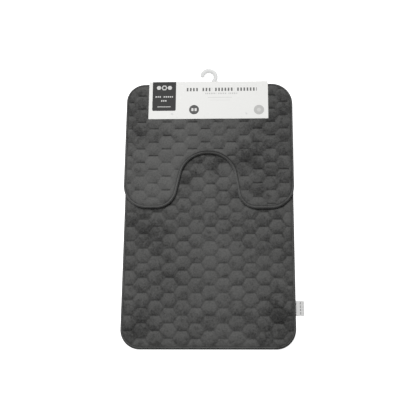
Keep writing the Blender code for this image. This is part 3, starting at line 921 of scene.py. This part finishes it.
def label_finish():
    """White woven satin, printed with a column of grey dashes and a fainter one beside it."""
    low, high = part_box("care_label")
    material, start, shader = new_finish("woven_label", {
        "Sheen Weight": 0.2, "Sheen Roughness": 0.4, "Specular IOR Level": 0.35,
    })
    where, x, y, _ = start.axes()
    warp = start.node(
        "TexWave", {"wave_type": "BANDS", "bands_direction": "Y"},
        {"Vector": where, "Scale": 500.0, "Distortion": 0.5}, output=1,
    )
    width = high.x - low.x
    along = y - (low.y + high.y) / 2.0

    def band(value, middle, half_width):
        return ((half_width - start.math("ABSOLUTE", value - middle)) * 3000.0).clamp()

    column = band(x, low.x + 0.56 * width, 0.085 * width)
    symbols = band(x, low.x + 0.84 * width, 0.060 * width)
    row = start.math("PINGPONG", along * (1.0 / (9.5 * MM)), 0.5)
    lettered = ((row - 0.10) * 20.0).clamp() * band(along, 0.0, 20.0 * MM)
    worn = 0.6 + 0.4 * ((start.noise(420.0, 0.0, where) - 0.40) * 8.0).clamp()
    print_ink = (column * 0.85 + symbols * 0.40) * lettered * worn
    cloth = start.scaled((0.70, 0.70, 0.695), 0.93 + 0.14 * warp)
    start.mix(print_ink, cloth, (0.22, 0.22, 0.22, 1.0)).feed(shader, "Base Color")
    (0.62 - 0.12 * warp).feed(shader, "Roughness")
    warp.emboss(shader, 0.35, 0.1 * MM)
    return material


care_label = make_care_label()
care_label.data.materials.append(label_finish())
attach(care_label, "label")
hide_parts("care_label")


# ---------------------------------------------------------------- Pedestal mat
# The same make as the bath mat, cut round the toilet's foot. Under the card it is held as a
# narrow band.

PEDESTAL_QUILT = Quilt(-0.0105, 0.1905, 0.0389, 0.0426, 0.50, 1.40)
PEDESTAL_STROKES = [
    (0.110, 0.165, 0.040, 0.85), (0.185, 0.250, 0.060, 0.55), (-0.205, 0.235, 0.030, 0.70),
    (0.190, 0.110, 0.080, 0.45), (-0.120, 0.110, 0.110, -0.80), (-0.225, 0.330, 0.060, 0.45),
    (-0.060, 0.240, 0.070, -0.45), (0.050, 0.235, 0.050, -0.30), (0.215, 0.340, 0.060, 0.40),
]

pedestal_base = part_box("pedestal_band_backing")[0].z
pivots = {joint["name"]: Vector(joint["pos_m"]) for joint in frame["joints"]}

pedestal_pad = make_pad(
    "pedestal_velour_pad", PEDESTAL_CORNERS, PEDESTAL_QUILT, pedestal_base, PEDESTAL_STROKES,
    nowhere, nowhere, 0.1,
)
pedestal_pad.data.materials.append(velour)
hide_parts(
    "pedestal_band_cover", "pedestal_band_foam", "pedestal_flap_cover", "pedestal_flap_foam",
)
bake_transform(pedestal_pad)

pedestal_stitching = make_stitching("pedestal_stitching", PEDESTAL_CORNERS, [
    (groove_row(pedestal_base), 1.0), (backing_row(pedestal_base, nowhere), -1.0),
])
pedestal_stitching.data.materials.append(thread)
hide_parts("pedestal_band_topstitch", "pedestal_flap_topstitch")
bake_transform(pedestal_stitching)

pedestal_backing = make_grip_backing("pedestal_grip_backing", PEDESTAL_CORNERS, pedestal_base, nowhere)
pedestal_backing.data.materials.append(backing_cloth)
pedestal_backing.data.materials.append(grip_dots)
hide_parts("pedestal_band_backing", "pedestal_flap_backing")
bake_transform(pedestal_backing)


# ---------------------------------------------------------------- Header card
# One strip of white-coated board, creased twice to wrap the top edges of both mats, with a
# slot in its spine for the hook. It bows a little between the tag pins. Its print is plain:
# a charcoal panel with a honeycomb mark, rows of blocks where wording would be, two badges.

CARD_THICKNESS = 0.5 * MM
CARD_FOLD = 5.0 * MM
CARD_BOW = 0.40 * MM
SLOT_HALF_WIDTH = 4.85 * MM
SLOT_HALF_HEIGHT = 2.3 * MM
FOLD_STEPS = 8


def make_header_card():
    low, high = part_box("header_card")
    front = high.z - CARD_THICKNESS / 2.0
    back = low.z + CARD_THICKNESS / 2.0
    spine = high.y - CARD_THICKNESS / 2.0
    slot = pivots["hook_tilt"]
    panel = np.linspace(low.y, spine - CARD_FOLD, 16)[:-1]
    path = [(y, front) for y in panel]
    quarter = [math.pi / 2.0 * step / FOLD_STEPS for step in range(FOLD_STEPS + 1)]
    path += [
        (spine - CARD_FOLD + CARD_FOLD * math.sin(angle), front - CARD_FOLD + CARD_FOLD * math.cos(angle))
        for angle in quarter
    ]
    path += [(spine, slot.z + SLOT_HALF_HEIGHT), (spine, slot.z - SLOT_HALF_HEIGHT)]
    path += [
        (spine - CARD_FOLD + CARD_FOLD * math.cos(angle), back + CARD_FOLD - CARD_FOLD * math.sin(angle))
        for angle in quarter
    ]
    path += [(y, back) for y in panel[::-1]]
    slot_sides = (slot.x - SLOT_HALF_WIDTH, slot.x + SLOT_HALF_WIDTH)
    columns = np.concatenate([
        np.linspace(low.x, slot_sides[0], 27), np.linspace(slot_sides[1], high.x, 26),
    ])
    pins = [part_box("tag_pin_" + side) for side in ("left", "right")]
    first_pin, last_pin = [(pin[0].x + pin[1].x) / 2.0 for pin in pins]

    bm = bmesh.new()
    rows = []
    for x in columns:
        wave = math.sin(math.pi * (x - first_pin) / (last_pin - first_pin)) ** 2
        row = []
        for y, z in path:
            from_fold = max(0.0, min(1.0, (spine - CARD_FOLD - y) / 0.1))
            rise = CARD_BOW * wave * from_fold if z > slot.z else 0.0
            row.append(bm.verts.new((x, y, z + rise)))
        rows.append(row)
    for column, (one, two) in enumerate(zip(rows, rows[1:])):
        for step in range(len(path) - 1):
            in_slot = abs(columns[column] - slot_sides[0]) < 0.01 * MM
            if in_slot and abs(path[step][1] - slot.z - SLOT_HALF_HEIGHT) < 0.01 * MM:
                continue
            bm.faces.new((one[step], two[step], two[step + 1], one[step + 1]))
    mesh = bpy.data.meshes.new("header_card_folded")
    bm.to_mesh(mesh)
    bm.free()
    mesh.shade_smooth()
    card = add_object("header_card_folded", mesh)
    board = card.modifiers.new("board_thickness", "SOLIDIFY")
    board.thickness = CARD_THICKNESS
    board.offset = 0.0
    board.use_even_offset = True
    depsgraph = bpy.context.evaluated_depsgraph_get()
    card.data = bpy.data.meshes.new_from_object(card.evaluated_get(depsgraph))
    card.modifiers.clear()
    card.data.set_sharp_from_angle(angle=math.radians(50.0))
    return card


def bar_mask(x, y, centre, size, radius=0.0, soft=0.25 * MM):
    """1 inside a bar with round corners, 0 outside."""
    across = x.math("ABSOLUTE", x - centre[0]) - (size[0] / 2.0 - radius)
    along = y.math("ABSOLUTE", y - centre[1]) - (size[1] / 2.0 - radius)
    if radius == 0.0:
        return (0.5 - across.math("MAXIMUM", across, along) / soft).clamp()
    corner_x = across.math("MAXIMUM", across, 0.0)
    corner_y = along.math("MAXIMUM", along, 0.0)
    outside = across.math("SQRT", corner_x * corner_x + corner_y * corner_y)
    within = across.math("MINIMUM", across.math("MAXIMUM", across, along), 0.0)
    return (0.5 - (outside + within - radius) / soft).clamp()


def disc_mask(x, y, centre, radius, soft=0.25 * MM):
    across = x - centre[0]
    along = y - centre[1]
    from_centre = x.math("SQRT", across * across + along * along)
    return (0.5 - (from_centre - radius) / soft).clamp()


def hexagon_mask(x, y, centre, radius, soft=0.25 * MM):
    across = x.math("ABSOLUTE", x - centre[0])
    along = y.math("ABSOLUTE", y - centre[1])
    slanted = across * math.cos(math.radians(30.0)) + along * 0.5
    return (0.5 - (across.math("MAXIMUM", slanted, along) - radius) / soft).clamp()


def block_row(x, y, start, end, height, middle, pitch, width, gaps):
    """A row of plain blocks at an even pitch, with wider gaps at some places."""
    phase = x.math("FLOORED_MODULO", x - start, pitch)
    tall = bar_mask(x, y, ((start + end) / 2.0, middle), (end - start, height))
    row = tall * ((width - phase) / (0.4 * MM) + 0.5).clamp()
    for gap in gaps:
        row = row * (1.0 - bar_mask(x, y, (gap, middle), (pitch * 0.95, height * 2.0)))
    return row


def card_finish():
    """Coated white board with charcoal and grey inks, softly worn at its cut edges."""
    low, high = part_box("header_card")
    material, start, shader = new_finish("header_board", {"Specular IOR Level": 0.12})
    where, x, y, z = start.axes()
    on_front = ((z - 22.0 * MM) * 4000.0).clamp()

    panel = bar_mask(x, y, (-0.1375, 0.3645), (0.0715, 0.108), 4.0 * MM)
    marks = hexagon_mask(x, y, (-0.1375, 0.3855), 7.6 * MM)
    marks = marks * (1.0 - hexagon_mask(x, y, (-0.1375, 0.3855), 4.6 * MM))
    for side in (-0.0167, 0.0167):
        marks = marks + hexagon_mask(x, y, (-0.1375 + side, 0.3855), 6.2 * MM)
    marks = marks + block_row(x, y, -0.1640, -0.1110, 4.4 * MM, 0.3560, 6.2 * MM, 4.0 * MM, (-0.1445,))
    marks = marks + block_row(x, y, -0.1470, -0.1285, 4.4 * MM, 0.3430, 6.2 * MM, 4.2 * MM, ())
    marks = (marks + 0.8 * bar_mask(x, y, (-0.1375, 0.3235), (0.041, 2.6 * MM), 1.3 * MM)).clamp()

    title_gaps = (-0.0270, 0.0130, 0.0800)
    title = block_row(x, y, -0.0690, 0.1440, 11.0 * MM, 0.3790, 9.6 * MM, 5.0 * MM, title_gaps)
    subtitle = block_row(x, y, -0.0120, 0.0860, 4.6 * MM, 0.3660, 5.4 * MM, 3.0 * MM, (0.0240, 0.0560))
    rule = bar_mask(x, y, (0.0325, 0.3530), (0.073, 1.2 * MM))
    small = block_row(x, y, 0.0020, 0.0640, 2.2 * MM, 0.3440, 3.1 * MM, 2.0 * MM, ())
    badge = disc_mask(x, y, (-0.0460, 0.3137), 15.0 * MM)
    for side in (-4.9 * MM, 4.9 * MM):
        window = bar_mask(x, y, (-0.0460 + side, 0.3137), (6.6 * MM, 9.4 * MM), 1.6 * MM)
        badge = badge * (1.0 - 0.85 * window)
    pale_badge = disc_mask(x, y, (0.1502, 0.3120), 15.4 * MM)
    pale_badge = pale_badge * (1.0 - 0.35 * hexagon_mask(x, y, (0.1502, 0.3120), 6.0 * MM))

    mottle = start.noise(160.0, 3.0, where)
    grain = start.noise(2400.0, 2.0, where)
    edge_x = x.math("ABSOLUTE", x - (low.x + high.x) / 2.0)
    edge = (1.0 - ((high.x - low.x) / 2.0 - edge_x) / (1.5 * MM)).clamp()
    edge = (edge + (1.0 - (y - low.y) / (1.5 * MM)).clamp()).clamp()
    board = start.scaled((0.795, 0.795, 0.780), 0.985 + 0.03 * mottle - 0.05 * edge * mottle)
    charcoal_ink = (0.044, 0.044, 0.044, 1.0)
    printed = start.mix(panel * on_front, board, charcoal_ink)
    printed = start.mix(marks * on_front * panel, printed, (0.62, 0.62, 0.61, 1.0))
    inks = ((title, 0.85), (subtitle, 0.38), (rule, 0.30), (small, 0.10), (badge, 0.92))
    for mask, strength in inks:
        printed = start.mix(mask * on_front * strength, printed, charcoal_ink)
    printed = start.mix(pale_badge * on_front, printed, (0.50, 0.50, 0.49, 1.0))
    printed.feed(shader, "Base Color")
    (0.52 + 0.10 * grain + 0.2 * edge).feed(shader, "Roughness")
    (grain * 0.6 + mottle).emboss(shader, 0.25, 0.1 * MM)
    return material


header_card = make_header_card()
header_card.data.materials.append(card_finish())
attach(header_card, "base")
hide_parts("header_card")


# ---------------------------------------------------------------- Tag pins
# Two moulded nylon tag pins, shot through the card and both mats. Each has a low round head
# on the card, a thin shaft, and a crossbar that turns flat behind the card's back panel.

PIN_SIDES = 24


def add_rounded_block(bm, centre, size, radius):
    block = bmesh.ops.create_cube(bm, size=1.0)["verts"]
    bmesh.ops.scale(bm, vec=size, verts=block)
    bmesh.ops.translate(bm, vec=centre, verts=block)
    edges = list({edge for vertex in block for edge in vertex.link_edges})
    bmesh.ops.bevel(bm, geom=edges, offset=radius, segments=3, profile=0.5, affect="EDGES")


def make_tag_pin(side):
    low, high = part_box("tag_pin_" + side)
    centre = (low + high) / 2.0
    head = (high.y - low.y) / 2.0
    shaft = 0.6 * MM
    bar_width = 1.4 * MM
    bar_top = low.z + 0.6 * MM
    profile = [
        (0.30 * head, high.z), (0.66 * head, high.z - 0.05 * MM), (0.90 * head, high.z - 0.22 * MM),
        (head, high.z - 0.45 * MM), (0.95 * head, high.z - 0.72 * MM), (0.80 * head, high.z - 0.8 * MM),
        (2.0 * shaft, high.z - 0.8 * MM), (shaft, high.z - 1.2 * MM), (shaft, bar_top + 0.6 * MM),
        (1.1 * shaft, bar_top - 0.1 * MM),
    ]
    vertices = []
    faces = []
    for radius, z in profile:
        for step in range(PIN_SIDES):
            turn = 2.0 * math.pi * step / PIN_SIDES
            vertices.append((centre.x + radius * math.cos(turn), centre.y + radius * math.sin(turn), z))
    for ring in range(len(profile) - 1):
        faces += [face[::-1] for face in ring_faces(ring * PIN_SIDES, (ring + 1) * PIN_SIDES, PIN_SIDES)]
    faces.append(tuple(range(PIN_SIDES)))
    last = (len(profile) - 1) * PIN_SIDES
    faces.append(tuple(range(last + PIN_SIDES - 1, last - 1, -1)))
    mesh = bpy.data.meshes.new("tag_pin_moulding_" + side)
    mesh.from_pydata(vertices, [], faces)
    bm = bmesh.new()
    bm.from_mesh(mesh)
    bar_centre = Vector((centre.x, centre.y, (bar_top + low.z) / 2.0))
    add_rounded_block(bm, bar_centre, (high.x - low.x, bar_width, bar_top - low.z), 0.22 * MM)
    bm.to_mesh(mesh)
    bm.free()
    mesh.shade_smooth()
    return add_object("tag_pin_moulding_" + side, mesh)


def nylon_finish():
    """Milky moulded nylon, slightly cloudy."""
    material, start, shader = new_finish("tag_nylon", {"Transmission Weight": 0.15, "IOR": 1.53})
    where = start.node("TexCoord", output=3)
    cloud = start.noise(700.0, 2.0, where)
    start.scaled((0.70, 0.71, 0.71), 0.92 + 0.16 * cloud).feed(shader, "Base Color")
    (0.30 + 0.2 * cloud).feed(shader, "Roughness")
    return material


nylon = nylon_finish()
for side in ("left", "right"):
    tag_pin = make_tag_pin(side)
    tag_pin.data.materials.append(nylon)
    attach(tag_pin, "base")
    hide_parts("tag_pin_" + side)


# ---------------------------------------------------------------- Hanger hook
# A milky injection-moulded hook. Its stem passes the slot in the card's spine to a wide
# flange inside, and the arc has a thin web between two thick rims, like a small I-beam.

HOOK_RADIUS = 21.0 * MM
HOOK_BAND = 12.8 * MM
HOOK_STEM = 8.5 * MM
HOOK_THICKNESS = 3.0 * MM
HOOK_CENTRE = Vector((-12.5 * MM, 20.5 * MM))
HOOK_ANGLES = (math.radians(-40.0), math.radians(163.0))
# The arc's section, in half widths across and half thicknesses up.
BEAM_SECTION = [
    (-1.0, -0.45), (-0.86, -1.0), (-0.68, -1.0), (-0.46, -0.80), (0.46, -0.80), (0.68, -1.0), (0.86, -1.0),
    (1.0, -0.45), (1.0, 0.45), (0.86, 1.0), (0.68, 1.0), (0.46, 0.80), (-0.46, 0.80), (-0.68, 1.0),
    (-0.86, 1.0), (-1.0, 0.45),
]


def hook_path():
    """The hook's middle line about its pivot: place, direction and half width, from the stem up."""
    steps = [
        (Vector((0.0, -2.2 * MM)), Vector((0.0, 1.0)), HOOK_STEM / 2.0),
        (Vector((0.0, 0.0)), Vector((0.0, 1.0)), HOOK_STEM / 2.0),
        (Vector((0.0, 1.6 * MM)), Vector((0.05, 1.0)), HOOK_STEM / 2.0),
        (Vector((0.4 * MM, 3.7 * MM)), Vector((0.25, 1.0)), HOOK_STEM / 2.0 + 0.3 * MM),
        (Vector((1.1 * MM, 5.7 * MM)), Vector((0.5, 1.0)), HOOK_BAND / 2.0 - 0.4 * MM),
    ]
    first, last = HOOK_ANGLES
    for step in range(49):
        angle = first + (last - first) * step / 48.0
        spoke = Vector((math.cos(angle), math.sin(angle)))
        steps.append((HOOK_CENTRE + spoke * HOOK_RADIUS, Vector((-spoke.y, spoke.x)), HOOK_BAND / 2.0))
    tip, heading, half = steps[-1]
    for step in range(1, 8):
        share = math.sin(math.pi / 2.0 * step / 7.5)
        steps.append((tip + heading * half * share, heading, half * math.sqrt(1.0 - share * share)))
    return steps


def make_hanger_hook():
    pivot = pivots["hook_tilt"]
    sides = len(BEAM_SECTION)
    vertices = []
    for place, heading, half in hook_path():
        heading = heading.normalized()
        aside = Vector((heading.y, -heading.x))
        for across, thick in BEAM_SECTION:
            spot = place + aside * across * half
            vertices.append((pivot.x + spot.x, pivot.y + spot.y, pivot.z + thick * HOOK_THICKNESS / 2.0))
    rings = len(vertices) // sides
    faces = []
    for ring in range(rings - 1):
        faces += [face[::-1] for face in ring_faces(ring * sides, (ring + 1) * sides, sides)]
    faces.append(tuple(range(sides)))
    faces.append(tuple(range(rings * sides - 1, (rings - 1) * sides - 1, -1)))
    mesh = bpy.data.meshes.new("hanger_hook_moulding")
    mesh.from_pydata(vertices, [], faces)
    bm = bmesh.new()
    bm.from_mesh(mesh)
    flange_centre = pivot + Vector((0.0, -2.75 * MM, 0.0))
    add_rounded_block(bm, flange_centre, (26.0 * MM, 2.2 * MM, 6.8 * MM), 0.5 * MM)
    bmesh.ops.recalc_face_normals(bm, faces=bm.faces)
    bm.to_mesh(mesh)
    bm.free()
    mesh.shade_smooth()
    mesh.set_sharp_from_angle(angle=math.radians(40.0))
    hook = add_object("hanger_hook_moulding", mesh)
    round_edges = hook.modifiers.new("mould_radius", "BEVEL")
    round_edges.width = 0.30 * MM
    round_edges.segments = 2
    round_edges.limit_method = "ANGLE"
    round_edges.angle_limit = math.radians(40.0)
    return hook


def hook_finish():
    """Milky polypropylene, a little cloudy with faint flow lines."""
    material, start, shader = new_finish("clear_polypropylene", {
        "Transmission Weight": 0.06, "IOR": 1.49, "Specular IOR Level": 0.30,
    })
    where = start.node("TexCoord", output=3)
    cloud = start.noise(220.0, 2.0, where)
    flow = start.noise(60.0, 4.0, where)
    start.scaled((0.675, 0.68, 0.675), 0.92 + 0.14 * cloud).feed(shader, "Base Color")
    (0.22 + 0.18 * flow).feed(shader, "Roughness")
    flow.emboss(shader, 0.15, 0.2 * MM)
    return material


hanger_hook = make_hanger_hook()
hanger_hook.data.materials.append(hook_finish())
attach(hanger_hook, "hook")
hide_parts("hanger_hook")
